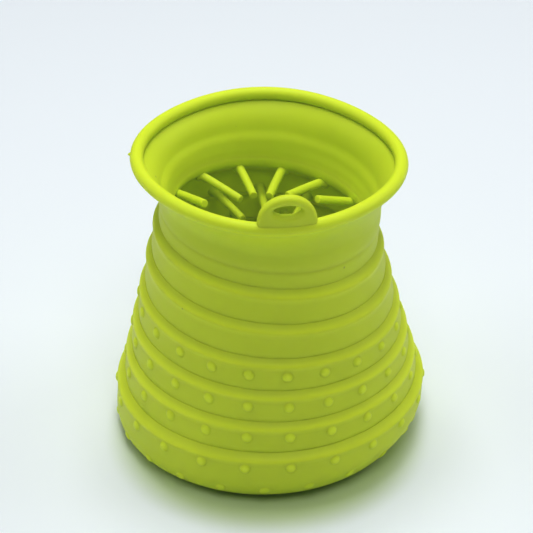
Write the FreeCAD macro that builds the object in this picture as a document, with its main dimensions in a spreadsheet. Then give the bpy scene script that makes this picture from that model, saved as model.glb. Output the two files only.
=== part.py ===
"""Collapsible silicone paw washer cup: a flared collar, a neck and five stepped rings over a closed base.

Millimetres, +Z up. The origin is on the cup's axis, in the plane that the foot stands on.
The hang tab stands on the rim at -Y. Each ring's wall is joined to the band above it by a thin fold web,
and every band is small enough to slide down inside the one below.

Bands are numbered from the top: 0 is the neck, 1 to 5 are the rings and 6 is the base.
"""
import FreeCAD, Part
import os

import Sketcher
from FreeCAD import Placement, Rotation, Vector

DIMENSIONS = {
    # walls, steps and folds
    "wall_thickness": 1.4,
    "step_out": 3.0,
    "fold_drop": 3.2,
    "fold_thickness": 1.2,
    "fold_arc_radius": 6.2,
    # heights, from the base upwards
    "base_height": 22.4,
    "ring_5_height": 11.0,
    "ring_4_height": 11.3,
    "ring_3_height": 11.9,
    "ring_2_height": 12.8,
    "ring_1_height": 13.0,
    "neck_height": 6.5,
    "collar_height": 19.6,
    # neck, collar and rim
    "neck_radius": 39.0,
    "collar_flare": 7.9,
    "collar_top_thickness": 1.6,
    "bead_radius": 2.35,
    # base
    "bevel_foot_radius": 48.0,
    "bevel_height": 12.5,
    "foot_fillet": 1.8,
    "foot_recess_radius": 43.0,
    "foot_recess_depth": 0.8,
    "floor_thickness": 1.7,
    "floor_radius": 50.0,
    "floor_fillet": 3.0,
    # bristles
    "bristle_count": 14,
    "bristle_radius": 1.15,
    "bristle_length": 20.0,
    "bristle_above_edge": 2.4,
    "neck_bristle_above_edge": 1.3,
    "base_bristle_height": 12.0,
    "base_bristle_root": 55.4,
    # nubs
    "nub_count": 22,
    "nub_radius": 1.9,
    "nub_rise": 0.65,
    "nub_above_edge": 5.7,
    "base_nub_height": 17.2,
    "bevel_nub_angle": 25.0,
    # hang tab, measured from the bead's centre line
    "tab_radius": 10.6,
    "tab_thickness": 4.0,
    "tab_centre_above_bead": 2.3,
    "tab_foot_above_bead": 0.6,
    "tab_edge_fillet": 1.2,
    "eye_half_width": 4.7,
    "eye_half_height": 2.4,
    "eye_above_bead": 7.3,
}
BASE = 6
BRISTLE_PHASE = 100.0
TAB_DIRECTION = -90.0
LEFT, RIGHT = 1, -1


def make_sheet(doc):
    """The driving dimensions, one aliased cell each."""
    sheet = doc.addObject("Spreadsheet::Sheet", "Dim")
    for row, (name, value) in enumerate(DIMENSIONS.items(), start=1):
        sheet.set(f"A{row}", name)
        sheet.set(f"B{row}", str(value))
        sheet.setAlias(f"B{row}", name)
    doc.recompute()
    return sheet


# ---- expressions that place the bands


def band_radius(band):
    """Outer radius of a band's wall."""
    return f"(Dim.neck_radius + {band} * Dim.step_out)"


def inner_radius(band):
    return f"({band_radius(band)} - Dim.wall_thickness)"


def lower_edge(band):
    """Height of the lower edge of the neck or of a ring."""
    heights = [f"Dim.ring_{ring}_height" for ring in range(BASE - 1, band, -1)]
    return "(" + " + ".join(["Dim.base_height", *heights]) + ")"


def wall_top(band):
    """Height where a ring's or the base's upright wall meets the fold web above it."""
    return f"({lower_edge(band - 1)} - Dim.fold_drop)"


def tangent_radius(run, rise):
    """Radius of an arc that starts upright and leans out by run over rise."""
    return f"((({run})^2 + ({rise})^2) / (2 * ({run})))"


COLLAR_FOOT = f"({lower_edge(0)} + Dim.neck_height)"
COLLAR_TOP = f"({COLLAR_FOOT} + Dim.collar_height)"
BEAD_LINE = "(Dim.neck_radius + Dim.collar_flare - Dim.collar_top_thickness / 2)"
BEAD_HEIGHT = f"({COLLAR_TOP} + sqrt(Dim.bead_radius^2 - (Dim.collar_top_thickness / 2)^2))"
BEVEL_RUN = f"({band_radius(BASE)} - Dim.bevel_foot_radius)"
BEVEL_ARC = tangent_radius(BEVEL_RUN, "Dim.bevel_height")
FLOOR_HEIGHT = "(Dim.foot_recess_depth + Dim.floor_thickness)"
NUB_SPHERE = "((Dim.nub_radius^2 + Dim.nub_rise^2) / (2 * Dim.nub_rise))"
NUB_SUNK = f"({NUB_SPHERE} - Dim.nub_rise)"


# ---- sketches and features


def origin_feature(body, role):
    return next(item for item in body.Origin.OriginFeatures if item.Role == role)


def attach(feature, body, role):
    feature.AttachmentSupport = [(origin_feature(body, role), "")]
    feature.MapMode = "FlatFace"


def new_body(doc, name):
    body = doc.addObject("PartDesign::Body", name)
    body.Label = name
    return body


def arc_between(start, end, radius, side):
    """The short arc from start to end that bulges to the left or right of the way along it."""
    chord = end - start
    half = chord.Length / 2
    sagitta = radius - (radius**2 - half**2) ** 0.5
    across = Vector(-chord.y, chord.x, 0).normalize() * side * sagitta
    return Part.Arc(start, (start + end) / 2 + across, end)


def add_outline(body, name, corners):
    """A closed sketch in the body's XZ plane, bound to the sheet.

    A corner is (across, up), or (across, up, arc radius, side) where the side that follows it is an arc.
    """
    sketch = body.newObject("Sketcher::SketchObject", name)
    attach(sketch, body, "XZ_Plane")

    def number(expression):
        return float(sketch.evalExpression(expression))

    points = [Vector(number(corner[0]), number(corner[1]), 0) for corner in corners]
    starts, ends = [], []
    for index, corner in enumerate(corners):
        here, there = points[index], points[(index + 1) % len(points)]
        if len(corner) == 2:
            side = sketch.addGeometry(Part.LineSegment(here, there))
        else:
            side = sketch.addGeometry(arc_between(here, there, number(corner[2]), corner[3]))
        to_first, to_second = [sketch.getPoint(side, end).distanceToPoint(here) for end in (1, 2)]
        starts.append(1 if to_first < to_second else 2)
        ends.append(2 if to_first < to_second else 1)

    def bind(constraint, label, expression):
        index = sketch.addConstraint(constraint)
        sketch.renameConstraint(index, label)
        sketch.setExpression(f"Constraints.{label}", expression)

    for index, corner in enumerate(corners):
        following = (index + 1) % len(corners)
        sketch.addConstraint(
            Sketcher.Constraint("Coincident", index, ends[index], following, starts[following])
        )
        spot = (index, starts[index])
        for axis, way, label in ((-2, "DistanceX", "across"), (-1, "DistanceY", "up")):
            expression = corner[0] if axis == -2 else corner[1]
            if expression == "0":
                sketch.addConstraint(Sketcher.Constraint("PointOnObject", *spot, axis))
            else:
                constraint = Sketcher.Constraint(way, -1, 1, *spot, number(expression))
                bind(constraint, f"{label}_{index}", expression)
        if len(corner) == 4:
            constraint = Sketcher.Constraint("Radius", index, number(corner[2]))
            bind(constraint, f"radius_{index}", corner[2])
    return sketch


def revolve(doc, name, corners):
    """A body turned about the cup's axis from one outline."""
    body = new_body(doc, name)
    turn = body.newObject("PartDesign::Revolution", f"{name}_turn")
    turn.Profile = add_outline(body, f"{name}_outline", corners)
    turn.ReferenceAxis = (origin_feature(body, "Z_Axis"), [""])
    turn.Angle = 360
    return body


def ring_of(doc, body, feature, count):
    """Repeats a feature around the cup's axis."""
    pattern = body.newObject("PartDesign::PolarPattern", f"{body.Name}_row")
    pattern.Originals = [feature]
    pattern.Axis = (origin_feature(body, "Z_Axis"), [""])
    pattern.Angle = 360
    pattern.setExpression("Occurrences", count)
    body.Tip = pattern


def fillet(doc, body, name, radius, chosen):
    """Rounds the edges of the body's tip that the test picks out."""
    doc.recompute()
    tip = body.Tip
    edges = [f"Edge{n}" for n, edge in enumerate(tip.Shape.Edges, start=1) if chosen(edge)]
    if not edges:
        raise RuntimeError(f"no edge to round on {body.Name}")
    rounded = body.newObject("PartDesign::Fillet", name)
    rounded.Base = (tip, edges)
    rounded.setExpression("Radius", radius)


def is_circle(edge, radius, height):
    """Is this edge a circle about the cup's axis, with this radius, at this height?"""
    curve = edge.Curve
    return (
        isinstance(curve, Part.Circle)
        and abs(curve.Radius - radius) < 1e-3
        and abs(curve.Center.z - height) < 1e-3
    )


# ---- the pieces


def make_wall(doc, name, band, foot, top):
    """An upright wall between two heights."""
    outer, inner = band_radius(band), inner_radius(band)
    return revolve(doc, name, [(inner, foot), (outer, foot), (outer, top), (inner, top)])


def make_fold_web(doc, band):
    """The thin rounded shoulder that joins a band's wall to the lower edge of the band above it."""
    above, below = lower_edge(band - 1), wall_top(band)
    thin = "Dim.fold_thickness"
    corners = [
        (band_radius(band - 1), above, "Dim.fold_arc_radius", LEFT),
        (band_radius(band), below),
        (f"{band_radius(band)} - {thin}", below, "Dim.fold_arc_radius", RIGHT),
        (f"{band_radius(band - 1)} - {thin}", above),
    ]
    return revolve(doc, f"fold_web_{band}", corners)


def make_collar(doc):
    """The flared wall under the bead, upright where it leaves the neck."""
    inner_flare = "(Dim.collar_flare + Dim.wall_thickness - Dim.collar_top_thickness)"
    outer_arc = tangent_radius("Dim.collar_flare", "Dim.collar_height")
    inner_arc = tangent_radius(inner_flare, "Dim.collar_height")
    rim = f"{band_radius(0)} + Dim.collar_flare"
    corners = [
        (band_radius(0), COLLAR_FOOT, outer_arc, LEFT),
        (rim, COLLAR_TOP),
        (f"{rim} - Dim.collar_top_thickness", COLLAR_TOP, inner_arc, RIGHT),
        (inner_radius(0), COLLAR_FOOT),
    ]
    return revolve(doc, "collar", corners)


def make_rim_bead(doc):
    """The round bead, with a narrow flat where it sits on the collar's top edge."""
    half = "Dim.collar_top_thickness / 2"
    corners = [
        (f"{BEAD_LINE} - {half}", COLLAR_TOP, "Dim.bead_radius", LEFT),
        (BEAD_LINE, f"{BEAD_HEIGHT} + Dim.bead_radius", "Dim.bead_radius", LEFT),
        (f"{BEAD_LINE} + {half}", COLLAR_TOP),
    ]
    return revolve(doc, "rim_bead", corners)


def make_base_bowl(doc):
    """The widest band, which rounds in to the foot, with its closed floor and a shallow recess under it."""
    outer, inner = band_radius(BASE), inner_radius(BASE)
    inner_arc = tangent_radius(f"{inner} - Dim.floor_radius", f"Dim.bevel_height - {FLOOR_HEIGHT}")
    recess = "Dim.foot_recess_radius"
    corners = [
        ("0", "Dim.foot_recess_depth"),
        (recess, "Dim.foot_recess_depth"),
        (f"{recess} + Dim.foot_recess_depth", "0"),
        ("Dim.bevel_foot_radius", "0", BEVEL_ARC, RIGHT),
        (outer, "Dim.bevel_height"),
        (outer, wall_top(BASE)),
        (inner, wall_top(BASE)),
        (inner, "Dim.bevel_height", inner_arc, LEFT),
        ("Dim.floor_radius", FLOOR_HEIGHT),
        ("0", FLOOR_HEIGHT),
    ]
    body = revolve(doc, "base_bowl", corners)
    foot = float(body.evalExpression("Dim.bevel_foot_radius"))
    fillet(doc, body, "foot_round", "Dim.foot_fillet", lambda edge: is_circle(edge, foot, 0))
    floor = float(body.evalExpression("Dim.floor_radius"))
    level = float(body.evalExpression(FLOOR_HEIGHT))
    fillet(doc, body, "floor_round", "Dim.floor_fillet", lambda edge: is_circle(edge, floor, level))
    return body


def make_bristles(doc, name, root, height, phase):
    """A row of round bristles that point from the wall towards the axis."""
    body = new_body(doc, name)
    body.AllowCompound = True
    body.Placement = Placement(Vector(), Rotation(Vector(0, 0, 1), phase))
    bristle = body.newObject("PartDesign::AdditiveCylinder", f"{name}_one")
    attach(bristle, body, "XY_Plane")
    bristle.AttachmentOffset = Placement(Vector(), Rotation(Vector(0, 1, 0), 90))
    bristle.setExpression("AttachmentOffset.Base.x", f"{root} - Dim.bristle_length")
    bristle.setExpression("AttachmentOffset.Base.z", height)
    bristle.setExpression("Radius", "Dim.bristle_radius")
    bristle.setExpression("Height", "Dim.bristle_length")
    ring_of(doc, body, bristle, "Dim.bristle_count")
    return body


def bristle_rows(doc):
    """Seven rows, each turned half a pitch from the row above it."""
    half_pitch = 180.0 / DIMENSIONS["bristle_count"]
    rows = []
    for band in range(BASE + 1):
        name = {0: "bristles_neck", BASE: "bristles_base"}.get(band, f"bristles_ring_{band}")
        root = f"sqrt({inner_radius(band)}^2 - Dim.bristle_radius^2)"
        height = f"{lower_edge(band)} + Dim.bristle_above_edge"
        if band == 0:
            height = f"{lower_edge(0)} + Dim.neck_bristle_above_edge"
        if band == BASE:
            root, height = "Dim.base_bristle_root", "Dim.base_bristle_height"
        rows.append(make_bristles(doc, name, root, height, BRISTLE_PHASE + half_pitch * (band % 2)))
    return rows


def make_nubs(doc, name, radius, height, phase, lean="0"):
    """A row of low domes on the outside of a wall, whose outward normal leans down by lean degrees."""
    body = new_body(doc, name)
    body.AllowCompound = True
    body.Placement = Placement(Vector(), Rotation(Vector(0, 0, 1), phase))
    nub = body.newObject("PartDesign::AdditiveSphere", f"{name}_one")
    attach(nub, body, "XY_Plane")
    nub.AttachmentOffset = Placement(Vector(), Rotation(Vector(0, 1, 0), 90))
    nub.setExpression("AttachmentOffset.Rotation.Angle", f"90 + {lean}")
    nub.setExpression("AttachmentOffset.Base.x", radius)
    nub.setExpression("AttachmentOffset.Base.z", height)
    nub.setExpression("Radius", NUB_SPHERE)
    nub.setExpression("Angle1", f"asin({NUB_SUNK} / {NUB_SPHERE})")
    nub.Angle2 = 90
    ring_of(doc, body, nub, "Dim.nub_count")
    return body


def nub_rows(doc):
    """Rows on the three lowest rings, on the base's wall, and half a pitch round on its bevel."""
    half_pitch = 180.0 / DIMENSIONS["nub_count"]
    rows = []
    for band in (3, 4, 5):
        radius, height = f"{band_radius(band)} - {NUB_SUNK}", f"{lower_edge(band)} + Dim.nub_above_edge"
        rows.append(make_nubs(doc, f"nubs_ring_{band}", radius, height, TAB_DIRECTION))
    radius = f"{band_radius(BASE)} - {NUB_SUNK}"
    rows.append(make_nubs(doc, "nubs_base_upper", radius, "Dim.base_nub_height", TAB_DIRECTION))
    lean = "Dim.bevel_nub_angle"
    reach = f"({BEVEL_ARC} - {NUB_SUNK})"
    radius = f"{band_radius(BASE)} - {BEVEL_ARC} + {reach} * cos({lean})"
    height = f"Dim.bevel_height - {reach} * sin({lean})"
    rows.append(make_nubs(doc, "nubs_base_lower", radius, height, TAB_DIRECTION + half_pitch, lean))
    return rows


def make_hang_tab(doc, bead):
    """A half-round tab that stands on the bead at -Y, with an oblong eye through it."""
    body = new_body(doc, "tab_blank")
    wide, centre = "Dim.tab_radius", f"({BEAD_HEIGHT} + Dim.tab_centre_above_bead)"
    foot = f"{BEAD_HEIGHT} + Dim.tab_foot_above_bead"
    shape = [
        (f"-{wide}", foot),
        (wide, foot),
        (wide, centre, wide, RIGHT),
        ("0", f"{centre} + {wide}", wide, RIGHT),
        (f"-{wide}", centre),
    ]
    outer_face = f"({BEAD_LINE} + Dim.bead_radius)"
    sketch = add_outline(body, "tab_outline", shape)
    sketch.setExpression("AttachmentOffset.Base.z", f"{outer_face} - Dim.tab_thickness")
    pad = body.newObject("PartDesign::Pad", "tab_pad")
    pad.Profile = sketch
    pad.setExpression("Length", "Dim.tab_thickness")

    tall, straight = "Dim.eye_half_height", "(Dim.eye_half_width - Dim.eye_half_height)"
    middle = f"({BEAD_HEIGHT} + Dim.eye_above_bead)"
    eye = [
        (f"-{straight}", f"{middle} - {tall}"),
        (straight, f"{middle} - {tall}", tall, RIGHT),
        (f"{straight} + {tall}", middle, tall, RIGHT),
        (straight, f"{middle} + {tall}"),
        (f"-{straight}", f"{middle} + {tall}", tall, RIGHT),
        (f"-{straight} - {tall}", middle, tall, RIGHT),
    ]
    sketch = add_outline(body, "eye_outline", eye)
    sketch.setExpression("AttachmentOffset.Base.z", outer_face)
    pocket = body.newObject("PartDesign::Pocket", "eye_pocket")
    pocket.Profile = sketch
    pocket.Type = 1
    doc.recompute()
    if not pocket.Shape.Volume < pad.Shape.Volume:
        raise RuntimeError("the eye's pocket cut nothing")

    radius = float(body.evalExpression(wide))
    fillet(
        doc,
        body,
        "tab_round",
        "Dim.tab_edge_fillet",
        lambda edge: isinstance(edge.Curve, Part.Circle) and abs(edge.Curve.Radius - radius) < 1e-3,
    )

    tab = doc.addObject("Part::Cut", "hang_tab")
    tab.Label = "hang_tab"
    tab.Base = body
    tab.Tool = bead
    return tab


def make_sub_parts(doc):
    """Every sub-part of the cup, from the rim down."""
    bead = make_rim_bead(doc)
    pieces = [bead, make_hang_tab(doc, bead), make_collar(doc)]
    pieces.append(make_wall(doc, "neck_band", 0, lower_edge(0), COLLAR_FOOT))
    for band in range(1, BASE):
        pieces.append(make_wall(doc, f"ring_{band}", band, lower_edge(band), wall_top(band)))
    pieces += [make_fold_web(doc, band) for band in range(1, BASE + 1)]
    pieces.append(make_base_bowl(doc))
    return pieces + bristle_rows(doc) + nub_rows(doc)


def check(doc, pieces):
    """Stops if any object failed to build or any sub-part's shape isn't sound."""
    for item in doc.Objects:
        if {"Invalid", "Error"} & set(item.State):
            raise RuntimeError(f"{item.Name} did not build")
    for piece in pieces:
        if piece.Shape.isNull() or not piece.Shape.isValid() or not piece.Shape.Solids:
            raise RuntimeError(f"{piece.Label} has no sound shape")


def main():
    doc = FreeCAD.newDocument("paw_washer_cup")
    make_sheet(doc)
    pieces = make_sub_parts(doc)
    doc.recompute()
    check(doc, pieces)
    os.makedirs("parts", exist_ok=True)
    for piece in pieces:
        piece.Shape.exportStep(f"parts/{piece.Label}.step")
        box = piece.Shape.BoundBox
        print(
            f"{piece.Label}: {len(piece.Shape.Solids)} solid(s), {piece.Shape.Volume:.0f} mm3, "
            f"z {box.ZMin:.2f} to {box.ZMax:.2f}, x {box.XMin:.2f} to {box.XMax:.2f}, "
            f"y {box.YMin:.2f} to {box.YMax:.2f}"
        )


main()
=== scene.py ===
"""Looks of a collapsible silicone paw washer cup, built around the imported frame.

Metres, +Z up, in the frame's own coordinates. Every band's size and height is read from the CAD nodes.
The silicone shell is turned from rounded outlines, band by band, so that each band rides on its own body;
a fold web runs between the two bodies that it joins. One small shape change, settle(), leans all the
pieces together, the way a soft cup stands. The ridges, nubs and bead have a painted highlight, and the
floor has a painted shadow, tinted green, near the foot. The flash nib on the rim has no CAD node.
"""

import math
import random

import bpy
import numpy as np
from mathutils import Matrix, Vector


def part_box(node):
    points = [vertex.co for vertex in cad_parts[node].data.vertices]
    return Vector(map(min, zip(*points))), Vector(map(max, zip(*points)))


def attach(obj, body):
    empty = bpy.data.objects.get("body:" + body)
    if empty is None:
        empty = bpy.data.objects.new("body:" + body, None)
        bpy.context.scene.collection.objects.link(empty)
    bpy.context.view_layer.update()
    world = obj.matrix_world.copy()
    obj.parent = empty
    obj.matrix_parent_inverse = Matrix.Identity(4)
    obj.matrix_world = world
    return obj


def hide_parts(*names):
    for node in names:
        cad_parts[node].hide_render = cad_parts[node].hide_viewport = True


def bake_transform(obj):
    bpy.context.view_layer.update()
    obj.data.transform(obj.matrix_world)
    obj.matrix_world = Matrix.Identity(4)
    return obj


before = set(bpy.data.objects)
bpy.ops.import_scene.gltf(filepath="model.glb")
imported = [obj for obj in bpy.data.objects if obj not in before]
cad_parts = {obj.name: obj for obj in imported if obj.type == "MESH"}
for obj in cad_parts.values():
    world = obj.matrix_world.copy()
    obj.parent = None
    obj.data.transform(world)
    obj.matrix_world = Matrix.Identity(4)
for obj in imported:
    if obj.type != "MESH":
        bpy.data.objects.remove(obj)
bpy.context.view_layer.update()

MM = 0.001
SEGMENTS = 300
NECK, BASE = 0, 6
RINGS = range(1, BASE)
NUBS = 22
BRISTLES = 14

# the camera, which also says which way the cup leans
CAMERA_TURN = math.radians(-7.5)
CAMERA_RISE = math.radians(34.0)
CAMERA_DISTANCE = 0.722
CAMERA_TARGET_HEIGHT = 0.065
CAMERA_ASIDE = -0.55 * MM
CAMERA_LENS = 135.1
SENSOR = 36.0
CAMERA_RIGHT = Vector((math.cos(CAMERA_TURN), math.sin(CAMERA_TURN), 0.0))
CAMERA_FRONT = Vector((math.sin(CAMERA_TURN), -math.cos(CAMERA_TURN), 0.0))


# ---- sizes from the frame


def reach(node):
    """A node's largest distance from the cup's axis."""
    return max(math.hypot(v.co.x, v.co.y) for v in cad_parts[node].data.vertices)


def inner_reach(node):
    """A node's smallest distance from the cup's axis."""
    return min(math.hypot(v.co.x, v.co.y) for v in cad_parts[node].data.vertices)


def low(node):
    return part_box(node)[0].z


def high(node):
    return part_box(node)[1].z


def wall_node(band):
    return {NECK: "neck_band", BASE: "base_bowl"}.get(band, f"ring_{band}")


def body_name(band):
    return {NECK: "collar_body", BASE: "base_body"}.get(band, f"ring_{band}_body")


# the walls of the looks: a little thinner and narrower than the CAD's, and the neck thicker inside
RING_SHRINK = 0.6 * MM
RADIUS = {band: reach(wall_node(band)) for band in range(BASE + 1)}
RADIUS.update({band: RADIUS[band] - RING_SHRINK for band in RINGS})
FOOT = {band: low(wall_node(band)) for band in range(BASE)}
WALL_TOP = {band: high(wall_node(band)) for band in range(1, BASE + 1)}
RIM_HEIGHT = high("rim_bead")
SKIN = 1.1 * MM
NECK_SKIN = 1.6 * MM
FUNNEL = 2.4 * MM
VALLEY = 0.06 * MM
LOWER_ROUND = 1.5 * MM
SHOULDER_SHARE = 0.31
BASE_SHOULDER = 3.5 * MM
SHOULDER_REACH = 1.15
SHOULDER_POWER = 1.9
CONE = 0.75 * MM
BASE_CONE = 0.5 * MM
RIDGE = 0.42 * MM
WEB_STEPS = 20

# where the ridge, and the painted highlight on it, rise and fall, as shares of the shoulder down from the
# fold line
RIDGE_RISE, RIDGE_FALL = (0.0, 0.55), (0.60, 1.30)
HIGHLIGHT_RISE, HIGHLIGHT_FALL = (0.05, 0.60), (0.68, 1.30)
# how strong the painted highlight is on the base's ridge, and all round the bead
BASE_HIGHLIGHT = 0.6
BEAD_HIGHLIGHT = 0.40

# the base's bevel: an arc that runs in by BEVEL_RUN below the height BEND
BEND = 12.2 * MM
BEVEL_RUN = 8.2 * MM
BEVEL = (BEVEL_RUN**2 + BEND**2) / (2 * BEVEL_RUN)


def fold_line(band):
    """Height of the fold above a band, where the band above starts."""
    return FOOT[band - 1]


def shoulder_height(band):
    """How far a band's round shoulder comes down from the fold line above it."""
    if band == BASE:
        return BASE_SHOULDER
    return SHOULDER_SHARE * (fold_line(band) - FOOT[band])


def outer_radius(band, z):
    """A band's outer radius at a height: each wall widens a little on its way down from a round shoulder."""
    if band == NECK:
        return RADIUS[NECK]
    if band == BASE and z < BEND:
        return RADIUS[BASE] - BEVEL + math.sqrt(BEVEL**2 - (BEND - z) ** 2)
    foot = BEND if band == BASE else FOOT[band]
    top = fold_line(band)
    share = (z - foot) / (top - foot)
    if band == BASE:
        cone = BASE_CONE
        wall = RADIUS[BASE] - cone * share * share
    else:
        cone = CONE
        wall = RADIUS[band] + cone * (1 - 2 * share)
    above = RADIUS[band - 1] + (CONE if band - 1 != NECK else 0.0) - VALLEY
    step = RADIUS[band] - cone - above
    down = (top - z) / shoulder_height(band)
    ridge = RIDGE * float(smooth(down, *RIDGE_RISE) * (1 - smooth(down, *RIDGE_FALL)))
    turned_in = min(1.0, max(0.0, 1 - SHOULDER_REACH * down)) ** SHOULDER_POWER
    return wall + ridge - step * turned_in


def ridge_highlight(band, z):
    """How much painted highlight a band has at a height: most on its shoulder's ridge."""
    down = (fold_line(band) - z) / shoulder_height(band)
    strength = BASE_HIGHLIGHT if band == BASE else 1.0
    return strength * float(smooth(down, *HIGHLIGHT_RISE) * (1 - smooth(down, *HIGHLIGHT_FALL)))


# ---- how the soft cup stands


def smooth(x, start, end):
    t = np.clip((x - start) / (end - start), 0.0, 1.0)
    return t * t * (3 - 2 * t)


# At each level, a height in mm: how a band's plane slopes down to the camera's right and down towards the
# camera, in degrees, and how far the band is lifted, and moved to the camera's right, in mm.
LEVELS = (0, 5, 12, 22, 33, 45, 57, 70, 83, 94, 108)
SLOPE = (0, -1.7, -1.7, -0.8, 0.9, 2.7, 4.4, 5.8, 6.6, 5.2, 1.5)
NOD = (0, -0.4, -1.2, -1.2, -0.6, 0, 0.6, 1.0, 1.2, 0.8, 0)
LIFT = (0, -0.3, -0.9, -0.9, 0, 0.7, 0.9, 0.8, 0.6, 0.1, 0)
SWAY = (-0.9, -0.9, 0.5, 0.8, 0.8, 0.7, 0.6, 0.3, 0.1, 0.8, 0.4)
PINCH = 1.3 * MM
BROAD_WAVE = 0.09 * MM
FINE_WAVE = 0.06 * MM


def at_height(z, values):
    return np.interp(np.asarray(z) / MM, LEVELS, values)


def slopes(z):
    """How a band's plane slopes at a height: down to the camera's right, and down towards the camera."""
    return np.tan(np.radians(at_height(z, SLOPE))), np.tan(np.radians(at_height(z, NOD)))


def settle(points, height=None):
    """Leans and sways points (an n by 3 array), each by its own height or by the height given."""
    points = np.array(points, float).reshape(-1, 3)
    z = points[:, 2].copy() if height is None else np.full(len(points), height)
    across = points[:, 0] * CAMERA_RIGHT.x + points[:, 1] * CAMERA_RIGHT.y
    towards = points[:, 0] * CAMERA_RIGHT.y - points[:, 1] * CAMERA_RIGHT.x
    turn = np.arctan2(points[:, 1], points[:, 0])
    soft = smooth(z, 0.004, 0.030) * (1 - smooth(z, 0.100, 0.112))
    wave = BROAD_WAVE * np.sin(3 * turn + 1.3) + FINE_WAVE * np.sin(5 * turn + 95 * z)
    pinched = PINCH * smooth(z, 0.094, 0.108) * np.sin(2 * (turn - CAMERA_TURN)) ** 2
    side_slope, front_slope = slopes(z)
    points[:, 2] += MM * at_height(z, LIFT) - side_slope * across - front_slope * towards
    moved = MM * at_height(z, SWAY)
    points[:, 0] += moved * CAMERA_RIGHT.x + (soft * wave - pinched) * np.cos(turn)
    points[:, 1] += moved * CAMERA_RIGHT.y + (soft * wave - pinched) * np.sin(turn)
    return points


# ---- meshes


def make_mesh(name, points, faces, sharp=()):
    """A smooth-shaded object, with the given vertex pairs as sharp edges."""
    mesh = bpy.data.meshes.new(name)
    mesh.from_pydata([tuple(p) for p in points], [], faces)
    mesh.validate()
    mesh.polygons.foreach_set("use_smooth", [True] * len(mesh.polygons))
    if sharp:
        wanted = {frozenset(pair) for pair in sharp}
        flags = [frozenset(edge.vertices) in wanted for edge in mesh.edges]
        layer = mesh.attributes.new("sharp_edge", "BOOLEAN", "EDGE")
        layer.data.foreach_set("value", flags)
    mesh.update()
    piece = bpy.data.objects.new(name, mesh)
    bpy.context.scene.collection.objects.link(piece)
    piece.data.materials.append(SILICONE)
    return piece


def paint(piece, highlights):
    """Gives each vertex its share of the painted highlight, which stands in for light that no lamp gives."""
    layer = piece.data.attributes.new("painted_highlight", "FLOAT", "POINT")
    layer.data.foreach_set("value", [float(highlight) for highlight in highlights])


def lathe(name, outline, corners=(), segments=SEGMENTS, highlights=None):
    """Turns a closed outline of (radius, height) points about the axis.

    The outline runs up the outside and down the inside, or round a section. A point on the axis is a pole.
    corners are the numbers of the sharp points, and the last argument gives the points' shares of the
    painted highlight.
    """
    angles = np.linspace(0, 2 * math.pi, segments, endpoint=False)
    points, rows = [], []
    for radius, height in outline:
        if radius < 1e-7:
            rows.append([len(points)] * segments)
            points.append((0.0, 0.0, height))
        else:
            rows.append(list(range(len(points), len(points) + segments)))
            points += [(radius * math.cos(a), radius * math.sin(a), height) for a in angles]
    faces, sharp = [], []
    for here, row in enumerate(rows):
        above = rows[(here + 1) % len(rows)]
        if row[0] == row[1] and above[0] == above[1]:
            continue
        for i in range(segments):
            j = (i + 1) % segments
            corners_of_face = [row[i], row[j], above[j], above[i]]
            faces.append(list(dict.fromkeys(corners_of_face)))
    for here in corners:
        row = rows[here]
        sharp += [(row[i], row[(i + 1) % segments]) for i in range(segments)]
    piece = make_mesh(name, settle(points), faces, sharp)
    if highlights:
        paint(piece, [highlight for highlight in highlights for _ in range(segments)])
    return piece


def bezier(a, b, c, d, steps, include_last=True):
    """Points on a cubic curve in the (radius, height) plane."""
    found = []
    for n in range(steps + (1 if include_last else 0)):
        t = n / steps
        weights = ((1 - t) ** 3, 3 * t * (1 - t) ** 2, 3 * t * t * (1 - t), t**3)
        found.append(tuple(sum(w * p[k] for w, p in zip(weights, (a, b, c, d))) for k in (0, 1)))
    return found


def arc(centre, radius, start, end, steps):
    """Points on a circular arc in the (radius, height) plane, from one angle to another in degrees."""
    angles = [math.radians(start + (end - start) * n / steps) for n in range(steps + 1)]
    return [(centre[0] + radius * math.cos(a), centre[1] + radius * math.sin(a)) for a in angles]


def inward(outline, distance):
    """The same outline, nearer the axis, run the other way."""
    return [(radius - distance, height) for radius, height in reversed(outline)]


def shell(name, outer, thickness, band):
    """A turned piece with this outside and an inside that follows it, open at both ends but for its edge."""
    outline = outer + inward(outer, thickness)
    last = len(outer)
    highlights = [ridge_highlight(band, height) for _, height in outer] + [0.0] * last
    return lathe(name, outline, corners=(0, last - 1, last, 2 * last - 1), highlights=highlights)


# ---- the shell


def valley_curve(band):
    """A wall's lower edge: it turns in to the valley line where the fold below starts."""
    r, z = outer_radius(band, FOOT[band] + LOWER_ROUND), FOOT[band]
    return bezier(
        (r - VALLEY, z),
        (r - VALLEY, z + 0.30 * LOWER_ROUND),
        (r, z + 0.35 * LOWER_ROUND),
        (r, z + LOWER_ROUND),
        8,
        include_last=False,
    )


def wall_line(band, start, end):
    """Points up a band's wall, first and last included."""
    count = max(2, round((end - start) / MM))
    heights = [start + (end - start) * n / count for n in range(count + 1)]
    return [(outer_radius(band, height), height) for height in heights]


def make_ring(band):
    """One ring's wall, from its valley line up to the fold web above it."""
    outer = valley_curve(band) + wall_line(band, FOOT[band] + LOWER_ROUND, WALL_TOP[band])
    ring = shell(f"ring_{band}_wall", outer, SKIN, band)
    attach(ring, body_name(band))
    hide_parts(f"ring_{band}")


def make_fold_web(band):
    """The top of a band's round shoulder, up to the valley line of the band above, between the two bodies.
    """
    node = f"fold_web_{band}"
    bottom, top = WALL_TOP[band], fold_line(band)
    heights = [bottom + (top - bottom) * n / WEB_STEPS for n in range(WEB_STEPS + 1)]
    web = shell(f"{node}_soft", [(outer_radius(band, height), height) for height in heights], SKIN, band)
    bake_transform(web)
    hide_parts(node)


def inside(outer, thickness):
    """An inner line that follows an outer one by a thickness that is given for each height."""
    return [(radius - thickness(height), height) for radius, height in reversed(outer)]


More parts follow.
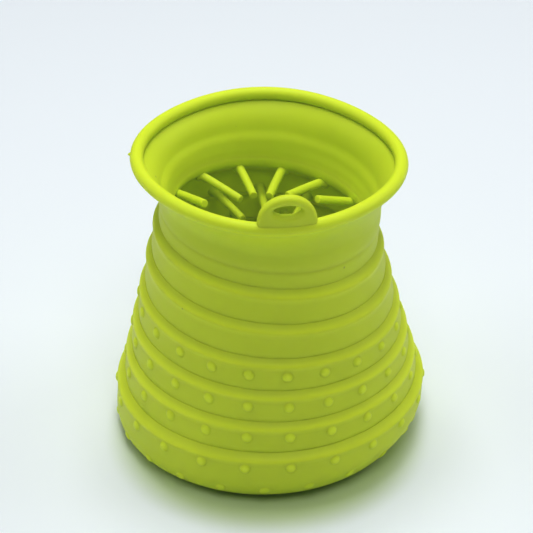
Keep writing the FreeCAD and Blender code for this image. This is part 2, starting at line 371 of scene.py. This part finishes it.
def make_neck():
    """The neck band, a little thicker inside, with a rounded lip over the first fold."""
    top = high("neck_band")
    r = RADIUS[NECK]
    dip = 0.10 * MM
    dip_start = top - 1.4 * MM
    outer = valley_curve(NECK) + wall_line(NECK, FOOT[NECK] + LOWER_ROUND, dip_start)[:-1]
    outer += bezier((r, dip_start), (r, top - 0.8 * MM), (r - dip, top - 0.5 * MM), (r - dip, top), 6)
    lip = outer[0]
    inner_top = r - dip - NECK_SKIN - FUNNEL
    inner = bezier(
        (inner_top, top),
        (inner_top - 0.8 * MM, top - 2.0 * MM),
        (r - NECK_SKIN - FUNNEL - 1.0 * MM, FOOT[NECK] + 1.2 * MM),
        (lip[0] - SKIN, FOOT[NECK]),
        14,
    )
    outline = outer + inner
    last = len(outer)
    neck = lathe("neck_band_wall", outline, corners=(0, last - 1, last, len(outline) - 1))
    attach(neck, body_name(NECK))
    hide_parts("neck_band")


def make_collar():
    """The flared wall, with a soft shoulder low on its outside and a moulded ledge inside."""
    bottom, top = low("collar"), high("collar")
    r = RADIUS[NECK] - 0.10 * MM
    rim = reach("collar")
    waist = bottom + 7.0 * MM
    bulged = r + 0.22 * MM
    outer = bezier(
        (r, bottom),
        (r, bottom + 0.8 * MM),
        (r + 0.20 * MM, bottom + 1.2 * MM),
        (bulged, bottom + 3.0 * MM),
        8,
        include_last=False,
    )
    outer += bezier(
        (bulged, bottom + 3.0 * MM),
        (r + 0.24 * MM, bottom + 4.2 * MM),
        (r + 0.18 * MM, waist - 1.6 * MM),
        (bulged, waist),
        6,
        include_last=False,
    )
    outer += bezier(
        (bulged, waist),
        (r + 0.90 * MM, waist + 5.2 * MM),
        (rim - 3.4 * MM, top - 3.0 * MM),
        (rim, top),
        16,
    )
    ledge = bottom + 9.0 * MM

    def thickness(height):
        """Thin at the rim; below the ledge the inside steps in, and then eases back to the neck."""
        step = 0.35 * MM * float(1 - smooth(height, ledge - 0.4 * MM, ledge + 1.2 * MM))
        step *= float(smooth(height, bottom, bottom + 3.2 * MM))
        funnel = max(0.0, (ledge - height) / (ledge - bottom))
        under_rim = 1.3 * MM * float(smooth(height, ledge, top))
        return NECK_SKIN + FUNNEL * funnel + step + under_rim

    inner = inside(outer, thickness)
    last = len(outer)
    collar = lathe("collar_wall", outer + inner, corners=(0, last - 1, last, 2 * last - 1))
    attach(collar, body_name(NECK))
    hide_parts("collar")


def make_rim_bead():
    """The rolled rim, with the fine parting line of its mould round the outside."""
    outer = reach("rim_bead")
    tube = (outer - inner_reach("rim_bead")) / 2
    centre = (outer - tube, RIM_HEIGHT - tube)
    outline = []
    for radius, height in arc(centre, tube, -90, 270, 40)[:-1]:
        line = max(0.0, 1 - abs(height - centre[1]) / (0.4 * MM)) if radius > centre[0] else 0.0
        outline.append((radius + 0.05 * MM * line, height))
    # the bead carries an even painted highlight all round
    bead = lathe("rim_bead_soft", outline, highlights=[BEAD_HIGHLIGHT] * len(outline))
    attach(bead, body_name(NECK))
    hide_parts("rim_bead")


def make_nib():
    """The small stub of flash that the mould left on the rim's outer edge."""
    outer = reach("rim_bead")
    tube = (outer - inner_reach("rim_bead")) / 2
    turn = math.pi + CAMERA_TURN + math.radians(1)
    out, up = np.array((math.cos(turn), math.sin(turn), 0.0)), np.array((0.0, 0.0, 1.0))
    side = np.cross(up, out)
    spokes, points, faces = 16, [], []
    height = RIM_HEIGHT - tube + 0.6 * MM
    half_width, half_height = 0.9, 0.75
    sections = [(-0.6, 1.0), (0.0, 0.85), (0.25, 0.65), (0.45, 0.5), (0.6, 0.35), (0.7, 0.12)]
    for distance, size in sections:
        for spoke in range(spokes):
            a = 2 * math.pi * spoke / spokes
            offset = (side * half_width * math.cos(a) + up * half_height * math.sin(a)) * size
            points.append(out * (outer + distance * MM) + up * height + offset * MM)
    for row in range(len(sections) - 1):
        for spoke in range(spokes):
            following = (spoke + 1) % spokes
            here, there = row * spokes, (row + 1) * spokes
            faces.append([here + spoke, here + following, there + following, there + spoke])
    faces.append(list(reversed(range(spokes))))
    faces.append([(len(sections) - 1) * spokes + spoke for spoke in range(spokes)])
    nib = make_mesh("rim_flash_nib", settle(points), faces)
    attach(nib, body_name(NECK))


def make_base():
    """The widest band, which rounds in to the foot, with its floor and the shallow recess under it."""
    node = "base_bowl"
    r, top = RADIUS[BASE], WALL_TOP[BASE]
    recess, recess_top = 41.2 * MM, 0.8 * MM
    foot_in, foot_out, floor_top = 43.0 * MM, 45.8 * MM, 2.5 * MM
    lowest = 52.0
    outer = bezier(
        (recess, recess_top),
        (recess + 1.0 * MM, recess_top),
        (recess + 0.9 * MM, 0),
        (foot_in, 0),
        6,
    )
    end = (r - BEVEL + BEVEL * math.cos(math.radians(lowest)), BEND - BEVEL * math.sin(math.radians(lowest)))
    run_out = 1.6 * MM
    slope = math.radians(90 - lowest)
    outer += bezier(
        (foot_out - 0.9 * MM, 0),
        (foot_out + 1.2 * MM, 0),
        (end[0] - run_out * math.cos(slope), end[1] - run_out * math.sin(slope)),
        end,
        6,
        include_last=False,
    )
    outer += arc((r - BEVEL, BEND), BEVEL, -lowest, 0, 24)
    outer += wall_line(BASE, BEND, top)[1:]
    inner = inside(wall_line(BASE, BEND, top), lambda height: SKIN)
    inner_bend = BEVEL - 1.3 * MM
    low_angle = math.degrees(math.asin((BEND - floor_top - 1.0 * MM) / inner_bend))
    inner += arc((r - SKIN - inner_bend, BEND), inner_bend, 0, -low_angle, 12)[1:]
    corner = inner[-1]
    inner += bezier(
        corner,
        (corner[0] - 1.0 * MM, corner[1] - 0.9 * MM),
        (48.4 * MM, floor_top),
        (46.0 * MM, floor_top),
        8,
    )[1:]
    circles = (4, 12, 24, 36)
    inner += [(radius * MM, floor_top) for radius in reversed(circles)] + [(0.0, floor_top)]
    below = [(0.0, recess_top)] + [(radius * MM, recess_top) for radius in circles]
    outline = below + outer + inner
    first = len(below) + len(outer)
    # painted highlight on the base's ridge; none on the recess, the floor or the inside
    highlights = [0.0] * len(below) + [ridge_highlight(BASE, height) for _, height in outer] + [0.0] * len(inner)
    highlights = [highlight for highlight, (radius, _) in zip(highlights, outline) if radius > 0]
    base = lathe("base_bowl_soft", outline, corners=(first - 1, first))
    poles = len(base.data.vertices) - SEGMENTS * len(highlights)
    spread = [highlight for highlight in highlights for _ in range(SEGMENTS)]
    paint(base, [0.0] + spread + [0.0] * (poles - 1))
    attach(base, body_name(BASE))
    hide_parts(node)


# ---- nubs


def make_nubs(node, band, phase, height, rise_up=0.95 * MM, rows=10, spokes=28):
    """Low domes that flow out of the wall, in one piece: a ring of rounded profile round each centre."""
    skirt = 2.30 * MM
    nub_radius = 1.90 * MM
    points, faces, highlights = [], [], []
    for nub in range(NUBS):
        middle = phase + 2 * math.pi * nub / NUBS
        first = len(points)
        for row in range(rows + 1):
            out = skirt * row / rows
            dome = math.sqrt(max(0.0, 1 - (out / nub_radius) ** 2))
            lift = rise_up * (0.78 * dome + 0.22 * float(1 - smooth(out, 0.9 * MM, skirt)))
            lift -= 0.02 * MM * float(smooth(out, 0.8 * skirt, skirt))
            for spoke in range(spokes if row else 1):
                a = 2 * math.pi * spoke / spokes
                up, around = height + out * math.sin(a), out * math.cos(a)
                radius, normal_up = surface(band, up)
                turn = middle + around / radius
                reach_out = radius + lift * math.cos(normal_up)
                rise_out = up + lift * math.sin(normal_up)
                points.append((reach_out * math.cos(turn), reach_out * math.sin(turn), rise_out))
                # painted highlight on each nub: lighter on the dome, most on its upper side, where light
                # from above falls
                dome_highlight = 0.62 + 0.38 * math.sin(a) * out / skirt
                highlights.append(dome * dome_highlight + (1 - dome) * ridge_highlight(band, up))
        for row in range(rows):
            inner_row = first if row == 0 else first + 1 + (row - 1) * spokes
            outer_row = first + 1 + row * spokes
            for spoke in range(spokes):
                following = (spoke + 1) % spokes
                rim = [outer_row + spoke, outer_row + following]
                if row == 0:
                    faces.append([first] + rim)
                else:
                    faces.append([inner_row + spoke] + rim + [inner_row + following])
    nubs = make_mesh(f"{node}_soft", settle(points), faces)
    paint(nubs, highlights)
    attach(nubs, body_name(band))
    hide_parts(node)


def surface(band, z):
    """A wall's outer radius at a height, and how far its outward normal tips up there, in radians."""
    step = 0.05 * MM
    fall = (outer_radius(band, z + step) - outer_radius(band, z - step)) / (2 * step)
    return outer_radius(band, z), -math.atan(fall)


# ---- bristles


def make_bristles(node, band, phase, seed, leans=None):
    """A row of soft bristles, each a little bent: flared roots, a slight taper and flat, rounded ends.

    leans holds the bristles that lean by a set amount, by number: degrees sideways and degrees up.
    """
    spokes = 18
    thicker = 1.34
    droop = 0.25 * MM
    box_low, box_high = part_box(node)
    height = (box_low.z + box_high.z) / 2
    skin = NECK_SKIN + 0.7 * FUNNEL if band == NECK else SKIN
    root, tip = outer_radius(band, height) - skin, inner_reach(node)
    length = root - tip
    thick = thicker * (box_high.z - box_low.z) / 2
    rng = random.Random(seed)
    flare = [(-0.6, 1.75), (-0.1, 1.62), (0.25, 1.34), (0.7, 1.14), (1.5, 1.05)]
    shaft = (0.16, 0.26, 0.36, 0.46, 0.56, 0.66, 0.76, 0.86, 0.95)
    end_edge = [(0.28, 0.965), (0.10, 0.92), (0.01, 0.80), (0.0, 0.55)]
    sections = [(distance * MM, size) for distance, size in flare]
    sections += [(length * share, 1.04 - 0.07 * share) for share in shaft]
    sections += [(length - distance * MM, size) for distance, size in end_edge]
    points, faces = [], []
    for n in range(BRISTLES):
        yaw = math.radians(rng.uniform(-5, 5))
        pitch = math.radians(rng.uniform(-3.5, 2.0))
        bend = rng.uniform(-0.7, 0.7) * MM
        if leans and n in leans:
            yaw, pitch = (math.radians(value) for value in leans[n])
        middle = phase + 2 * math.pi * n / BRISTLES
        outward = np.array((math.cos(middle), math.sin(middle), 0.0))
        sideways = np.array((-outward[1], outward[0], 0.0))
        up = np.array((0.0, 0.0, 1.0))
        level = math.cos(pitch)
        along = -outward * math.cos(yaw) * level + sideways * math.sin(yaw) * level + up * math.sin(pitch)
        side = np.cross(along, up)
        side /= np.linalg.norm(side)
        top = np.cross(side, along)
        start = outward * root + up * height
        first = len(points)
        for distance, size in sections:
            share = max(0.0, distance) / length
            centre = start + along * distance + side * bend * share**2 - up * droop * share**2
            for spoke in range(spokes):
                a = 2 * math.pi * spoke / spokes
                points.append(centre + (side * math.cos(a) + top * math.sin(a)) * thick * size)
        end = len(points)
        points.append(start + along * length + side * bend - up * droop)
        for row in range(len(sections) - 1):
            for spoke in range(spokes):
                following = (spoke + 1) % spokes
                here, there = first + row * spokes, first + (row + 1) * spokes
                faces.append([here + spoke, here + following, there + following, there + spoke])
        last = first + (len(sections) - 1) * spokes
        faces += [[last + spoke, last + (spoke + 1) % spokes, end] for spoke in range(spokes)]
        faces.append([first + spoke for spoke in reversed(range(spokes))])
    bristles = make_mesh(f"{node}_soft", settle(points, height), faces)
    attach(bristles, body_name(band))
    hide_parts(node)


# ---- hang tab


def make_hang_tab():
    """A half-round tab that stands on the bead and follows its curve, with an oblong eye and soft edges."""
    node = "hang_tab"
    tab_low, tab_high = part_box(node)
    half_width = (tab_high.x - tab_low.x) / 2
    centre_z = tab_high.z - half_width
    foot_z = tab_low.z - 0.9 * MM
    eye_z = centre_z + 5.0 * MM
    eye_wide, eye_tall = 5.0 * MM, 2.0 * MM
    face_radius = -tab_low.y - 0.75 * MM
    back_radius = face_radius - 3.7 * MM
    spokes, edge, edge_steps = 120, 1.55 * MM, 12
    points, faces, rows = [], [], []

    def outline(a):
        """The tab's outer edge, seen from the front, in the direction a from the eye."""
        dx, dz = math.cos(a), math.sin(a)
        offset = eye_z - centre_z
        b = dz * offset
        reach_circle = -b + math.sqrt(b * b - offset * offset + half_width**2)
        x, z = dx * reach_circle, offset + dz * reach_circle
        if z < 0:
            reach_side = half_width / abs(dx) if abs(dx) > 1e-6 else 1e9
            reach_foot = (foot_z - eye_z) / dz
            reach_circle = min(reach_side, reach_foot)
        return dx * reach_circle, eye_z + dz * reach_circle

    def place(x, z, radius):
        turn = -math.pi / 2 + x / face_radius
        return (radius * math.cos(turn), radius * math.sin(turn), z)

    depth = (face_radius - back_radius) / 2
    middle = (face_radius + back_radius) / 2

    def round_edge(kind, start, way):
        """Points round a soft edge: how far in from the edge's line, and how far across the tab."""
        found = []
        for step in range(edge_steps + 1):
            a = math.radians(start + way * 180 * step / edge_steps)
            face = (a > 0) - (a < 0)
            found.append((kind, way * edge * (math.cos(a) - 1), (depth - edge) * face + edge * math.sin(a)))
        return found

    shares = (0.25, 0.5, 0.75)
    section = round_edge("outer", -90, 1) + [("face", share, depth) for share in shares]
    section += round_edge("inner", 90, -1) + [("face", share, -depth) for share in reversed(shares)]
    for spoke in range(spokes):
        a = 2 * math.pi * spoke / spokes
        out = outline(a)
        eye = (eye_wide * math.cos(a), eye_z + eye_tall * math.sin(a))
        span = math.hypot(out[0] - eye[0], out[1] - eye[1])
        way = ((out[0] - eye[0]) / span, (out[1] - eye[1]) / span)
        rows.append([])
        for kind, amount, across in section:
            if kind == "outer":
                x, z = out[0] + way[0] * amount, out[1] + way[1] * amount
            elif kind == "inner":
                x, z = eye[0] + way[0] * amount, eye[1] + way[1] * amount
            else:
                share = edge / span + (1 - 2 * edge / span) * (1 - amount)
                x, z = eye[0] + way[0] * span * share, eye[1] + way[1] * span * share
            rows[-1].append(len(points))
            points.append(place(x, z, middle + across))
    for spoke in range(spokes):
        here, there = rows[spoke], rows[(spoke + 1) % spokes]
        for k in range(len(section)):
            following = (k + 1) % len(section)
            faces.append([here[k], here[following], there[following], there[k]])
    tab = make_mesh("hang_tab_soft", settle(points), faces)
    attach(tab, body_name(NECK))
    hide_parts(node)


# ---- silicone


def add_node(nodes, kind, **values):
    """A new shader node with its input values set. A _ in a value's name stands for a space."""
    node = nodes.new(f"ShaderNode{kind}")
    for name, value in values.items():
        node.inputs[name.replace("_", " ")].default_value = value
    return node


def add_colour_mix(nodes, second):
    """A node that mixes a linked colour A with this second colour by its Factor."""
    mix = nodes.new("ShaderNodeMix")
    mix.data_type = "RGBA"
    mix.inputs["B"].default_value = second
    return mix


def add_tint(nodes, dark, light, places=(0.0, 1.0)):
    """A ramp from one colour to another."""
    tint = nodes.new("ShaderNodeValToRGB")
    for element, place, colour in zip(tint.color_ramp.elements, places, (dark, light)):
        element.position = place
        element.color = colour
    return tint


def new_material(name):
    material = bpy.data.materials.new(name)
    material.use_nodes = True
    nodes = material.node_tree.nodes
    return material, nodes, material.node_tree.links, nodes["Principled BSDF"]


def make_silicone():
    """Matte lime silicone: soft cloudy tint, fine moulded grain, a few dust specks and a little depth.

    The painted highlight and the faint blue emission, a painted glow, are not how silicone is: they stand in
    for light that the lamps alone don't give.
    """
    material, nodes, links, shader = new_material("lime_silicone")
    where = nodes.new("ShaderNodeTexCoord")

    cloud = add_node(nodes, "TexNoise", Scale=38.0, Detail=3.0)
    links.new(where.outputs["Object"], cloud.inputs["Vector"])
    tint = add_tint(nodes, (0.590, 0.725, 0.017, 1), (0.625, 0.760, 0.021, 1), places=(0.30, 0.72))
    links.new(cloud.outputs["Fac"], tint.inputs["Fac"])

    # painted highlight: a vertex attribute mixes the colour towards a light yellow-green on the ridges, nub
    # tops and bead
    highlight = nodes.new("ShaderNodeAttribute")
    highlight.attribute_name = "painted_highlight"
    highlighted = add_colour_mix(nodes, (0.76, 0.93, 0.022, 1))
    links.new(highlight.outputs["Fac"], highlighted.inputs["Factor"])
    links.new(tint.outputs["Color"], highlighted.inputs["A"])

    dust = add_node(nodes, "TexVoronoi", Scale=62.0, Randomness=1.0)
    links.new(where.outputs["Object"], dust.inputs["Vector"])
    speck = add_node(nodes, "MapRange", From_Min=0.020, From_Max=0.034, To_Min=0.45, To_Max=0.0)
    links.new(dust.outputs["Distance"], speck.inputs["Value"])
    dusty = add_colour_mix(nodes, (0.16, 0.19, 0.05, 1))
    links.new(speck.outputs["Result"], dusty.inputs["Factor"])
    links.new(highlighted.outputs["Result"], dusty.inputs["A"])
    links.new(dusty.outputs["Result"], shader.inputs["Base Color"])

    grain = add_node(nodes, "TexNoise", Scale=1500.0, Detail=2.0)
    links.new(where.outputs["Object"], grain.inputs["Vector"])
    ripple = add_node(nodes, "TexNoise", Scale=90.0, Detail=1.5)
    links.new(where.outputs["Object"], ripple.inputs["Vector"])
    fine = add_node(nodes, "Bump", Strength=0.22, Distance=0.00006)
    links.new(grain.outputs["Fac"], fine.inputs["Height"])
    broad = add_node(nodes, "Bump", Strength=0.20, Distance=0.00035)
    links.new(ripple.outputs["Fac"], broad.inputs["Height"])
    links.new(fine.outputs["Normal"], broad.inputs["Normal"])
    links.new(broad.outputs["Normal"], shader.inputs["Normal"])

    rough = add_node(nodes, "MapRange", To_Min=0.46, To_Max=0.58)
    links.new(cloud.outputs["Fac"], rough.inputs["Value"])
    links.new(rough.outputs["Result"], shader.inputs["Roughness"])

    shader.inputs["IOR"].default_value = 1.41
    shader.inputs["Subsurface Weight"].default_value = 0.45
    shader.inputs["Subsurface Radius"].default_value = (1.0, 0.9, 0.15)
    shader.inputs["Subsurface Scale"].default_value = 0.0030
    shader.inputs["Specular IOR Level"].default_value = 0.24
    # painted light: a faint blue glow, though silicone gives none, lifts the blue in dark places
    shader.inputs["Emission Color"].default_value = (0.0, 0.05, 1.0, 1)
    shader.inputs["Emission Strength"].default_value = 0.009
    return material


def make_floor_material():
    """Plain pale sheet with a breath of cool tint, and a painted shadow near the cup's foot, tinted green.

    The painted shadow is fixed on the floor, with its centre a little towards the main camera's place.
    """
    shadow_aside, shadow_full, shadow_gone = 0.013, 0.046, 0.062
    material, nodes, links, shader = new_material("pale_floor")
    where = nodes.new("ShaderNodeTexCoord")
    cloud = add_node(nodes, "TexNoise", Scale=3.0)
    links.new(where.outputs["Object"], cloud.inputs["Vector"])
    tint = add_tint(nodes, (0.865, 0.920, 0.965, 1), (0.880, 0.935, 0.980, 1))
    links.new(cloud.outputs["Fac"], tint.inputs["Fac"])

    # painted shadow round the foot, darker and tinted green as by light bounced off the cup, fading out with
    # distance from its centre
    offset = nodes.new("ShaderNodeVectorMath")
    offset.operation = "SUBTRACT"
    offset.inputs[1].default_value = tuple(CAMERA_FRONT * shadow_aside)
    links.new(where.outputs["Object"], offset.inputs[0])
    far = nodes.new("ShaderNodeVectorMath")
    far.operation = "LENGTH"
    links.new(offset.outputs["Vector"], far.inputs[0])
    near = add_node(nodes, "MapRange", From_Min=shadow_full, From_Max=shadow_gone, To_Min=1.0, To_Max=0.0)
    near.interpolation_type = "SMOOTHSTEP"
    links.new(far.outputs["Value"], near.inputs["Value"])
    painted_shadow = add_colour_mix(nodes, (0.50, 0.61, 0.32, 1))
    links.new(near.outputs["Result"], painted_shadow.inputs["Factor"])
    links.new(tint.outputs["Color"], painted_shadow.inputs["A"])
    links.new(painted_shadow.outputs["Result"], shader.inputs["Base Color"])
    shader.inputs["Roughness"].default_value = 0.75
    shader.inputs["Specular IOR Level"].default_value = 0.2
    return material


# ---- stage, light and camera


def add_area(name, place, aim, size, power, colour=(1.0, 1.0, 1.0)):
    light = bpy.data.lights.new(name, "AREA")
    light.shape = "SQUARE"
    light.size = size
    light.energy = power
    light.color = colour
    lamp = bpy.data.objects.new(name, light)
    lamp.location = place
    lamp.rotation_euler = (Vector(aim) - Vector(place)).to_track_quat("-Z", "Y").to_euler()
    bpy.context.scene.collection.objects.link(lamp)


def make_stage():
    half = 3.0
    mesh = bpy.data.meshes.new("floor")
    corners = [(-half, -half, 0), (half, -half, 0), (half, half, 0), (-half, half, 0)]
    mesh.from_pydata(corners, [], [(0, 1, 2, 3)])
    floor = bpy.data.objects.new("floor", mesh)
    bpy.context.scene.collection.objects.link(floor)
    floor.data.materials.append(make_floor_material())

    world = bpy.data.worlds.new("pale_studio")
    bpy.context.scene.world = world
    world.use_nodes = True
    background = world.node_tree.nodes["Background"]
    background.inputs["Color"].default_value = (0.93, 0.97, 1.0, 1)
    background.inputs["Strength"].default_value = 0.09

    add_area("key_softbox", (0.0, 0.24, 1.17), (0, 0, 0.05), 0.50, 7.6)
    add_area("front_softbox", (0.0, -0.50, 1.10), (0, 0, 0.06), 0.50, 3.5, (0.97, 0.99, 1.0))
    add_area("left_softbox", (-1.1, 0.15, 0.85), (0, 0, 0.06), 0.8, 3.4)
    add_area("right_softbox", (1.1, 0.15, 0.85), (0, 0, 0.06), 0.8, 4.2)
    bpy.context.scene.view_settings.view_transform = "Standard"


def make_camera():
    data = bpy.data.cameras.new("camera")
    data.sensor_width = SENSOR
    data.lens = CAMERA_LENS
    camera = bpy.data.objects.new("camera", data)
    bpy.context.scene.collection.objects.link(camera)
    target = Vector((0, 0, CAMERA_TARGET_HEIGHT)) + CAMERA_RIGHT * CAMERA_ASIDE
    back = Vector((
        math.sin(CAMERA_TURN) * math.cos(CAMERA_RISE),
        -math.cos(CAMERA_TURN) * math.cos(CAMERA_RISE),
        math.sin(CAMERA_RISE),
    ))
    camera.location = target + back * CAMERA_DISTANCE
    camera.rotation_euler = (-back).to_track_quat("-Z", "Y").to_euler()
    bpy.context.scene.camera = camera


def middle_height(node):
    return (low(node) + high(node)) / 2


def build():
    for band in RINGS:
        make_ring(band)
    for band in range(1, BASE + 1):
        make_fold_web(band)
    make_neck()
    make_collar()
    make_rim_bead()
    make_nib()
    make_hang_tab()
    make_base()

    pitch = 2 * math.pi / NUBS
    under_tab = -math.pi / 2
    for band in (3, 4, 5):
        node = f"nubs_ring_{band}"
        make_nubs(node, band, under_tab, middle_height(node))
    upper, lower = "nubs_base_upper", "nubs_base_lower"
    make_nubs(upper, BASE, under_tab, middle_height(upper))
    make_nubs(lower, BASE, under_tab + pitch / 2, middle_height(lower), rise_up=0.55 * MM)

    half_pitch = math.pi / BRISTLES
    top_leans = {0: (-1, -1), 1: (-11, -5), 2: (30, 18), 11: (-8, 21), 12: (13, 3), 13: (8, -2)}
    for band in range(BASE + 1):
        node = {NECK: "bristles_neck", BASE: "bristles_base"}.get(band, f"bristles_ring_{band}")
        phase = math.radians(100) + half_pitch * (band % 2)
        make_bristles(node, band, phase, seed=20 + band, leans=top_leans if band == NECK else None)


SILICONE = make_silicone()
make_camera()
make_stage()
build()
